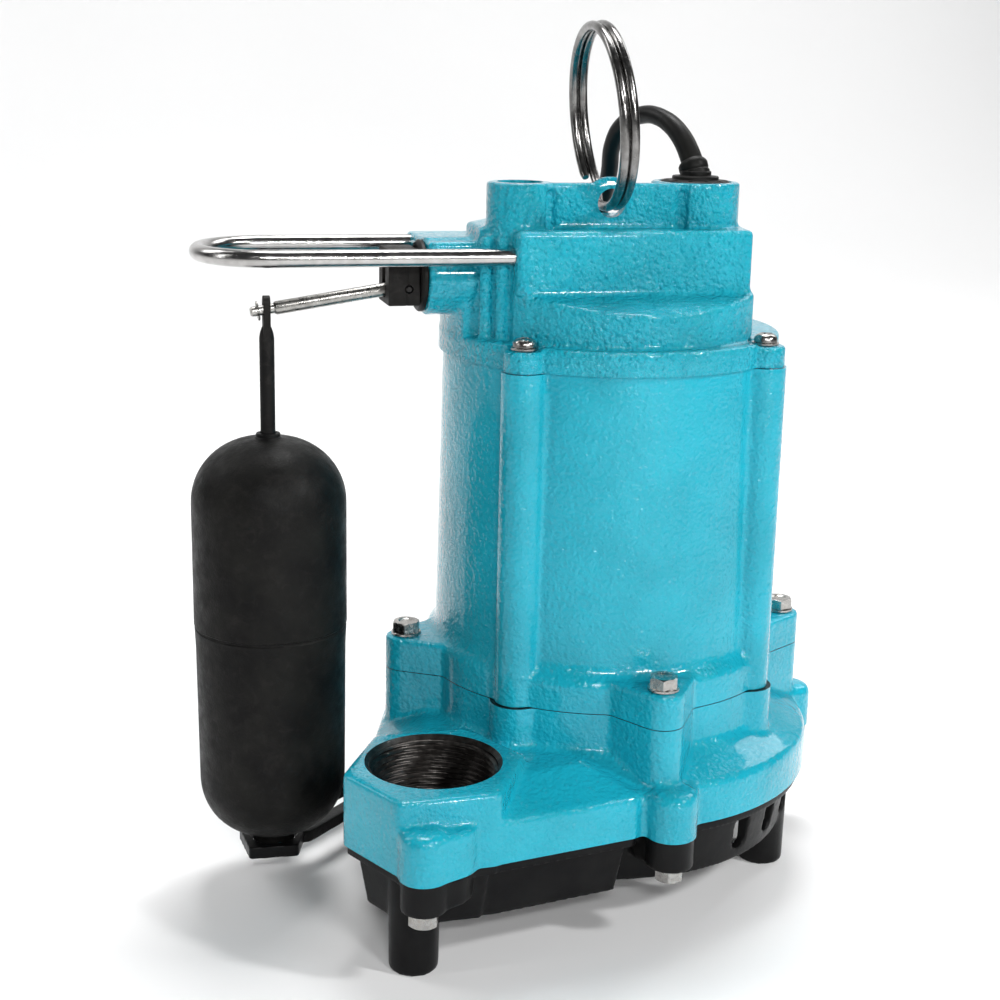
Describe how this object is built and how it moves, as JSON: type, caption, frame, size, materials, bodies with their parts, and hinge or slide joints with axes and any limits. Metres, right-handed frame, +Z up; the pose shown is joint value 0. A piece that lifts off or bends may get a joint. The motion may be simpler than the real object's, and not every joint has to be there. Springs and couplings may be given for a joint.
{
  "type": "submersible sump pump with float switch",
  "caption": "Submersible sump pump: teal cast motor housing on a volute with a threaded discharge port, black strainer base, vertical float on a switch arm, wire guard, lift ring and cord.",
  "frame": {"origin": "on the floor under the three feet, at the middle of the box of the pump without its free cord", "axes": "+Z up along the motor axis, -Y towards the front with the flat panel, -X towards the float"},
  "size_m": [0.2819, 0.3345, 0.333],
  "materials": {
    "paint": "glossy teal paint over a sand casting",
    "plastic": "matte black moulding",
    "rubber": "black rubber",
    "steel": "bright zinc plate or polished stainless steel",
    "iron": "bare machined iron",
    "lamination": "stacked electrical steel",
    "copper": "varnished copper wire",
    "ceramic": "lapped ceramic",
    "gasket": "dark gasket sheet",
    "brass": "bare brass"
  },
  "bodies": {
    "pump": {"arm_pin": "steel", "base_bolt_1": "steel", "base_bolt_2": "steel", "base_bolt_3": "steel", "base_bolt_4": "steel", "base_bolt_5": "steel", "bearing_bracket": "iron", "coil_tie": "rubber", "cord_coil": "rubber", "cord_gland": "rubber", "cord_tail": "rubber", "cover": "paint", "cover_gasket": "gasket", "cover_screw_1": "steel", "cover_screw_2": "steel", "cover_screw_3": "steel", "cover_screw_4": "steel", "float_guide": "plastic", "guard_rod": "steel", "housing_bolt_1": "steel", "housing_bolt_2": "steel", "housing_bolt_3": "steel", "housing_bolt_4": "steel", "lower_bearing": "steel", "lower_winding": "copper", "motor_housing": "paint", "overload_protector": "plastic", "plug_blade_1": "brass", "plug_blade_2": "brass", "plug_body": "rubber", "plug_ground_pin": "brass", "port_plug": "rubber", "power_cord": "rubber", "seal_plate": "iron", "seal_seat": "ceramic", "stator_core": "lamination", "strain_relief": "rubber", "strainer_base": "plastic", "switch_block": "plastic", "switch_body": "plastic", "switch_gland": "rubber", "upper_bearing": "steel", "upper_winding": "copper", "volute_casing": "paint", "volute_gasket": "gasket"},
    "rotor": {"shaft": "steel", "rotor_core": "lamination", "impeller": "plastic", "seal_head": "rubber"},
    "arm": {"float_arm": "steel", "arm_clip": "steel"},
    "float_assembly": {"float": "plastic", "float_rod": "plastic"},
    "plunger": {"switch_plunger": "steel"},
    "ring": {"lift_ring": "steel"}
  },
  "joints": [
    {"name": "rotor_spin", "type": "hinge", "parent": "pump", "child": "rotor", "pos_m": [0.0329, 0.0072, 0.05], "axis": [0, 0, 1], "continuous": true},
    {"name": "arm_hinge", "type": "hinge", "parent": "pump", "child": "arm", "pos_m": [-0.0504, -0.0008, 0.2354], "axis": [0, 1, 0], "range_deg": [0, 16]},
    {"name": "float_hinge", "type": "hinge", "parent": "arm", "child": "float_assembly", "pos_m": [-0.10189, -0.0008, 0.22743], "axis": [0, 1, 0], "range_deg": [-16, 0]},
    {"name": "plunger_slide", "type": "slide", "parent": "pump", "child": "plunger", "axis": [1, 0, 0], "range_m": [0, 0.0012]},
    {"name": "ring_hinge", "type": "hinge", "parent": "pump", "child": "ring", "pos_m": [0.0223, -0.0206, 0.2666], "axis": [0, 1, 0], "range_deg": [-64, 10]}
  ],
  "couplings": [
    {"joint": "float_hinge", "follows": "arm_hinge", "ratio": -1},
    {"joint": "plunger_slide", "follows": "arm_hinge", "m_per_rad": 0.0042}
  ]
}
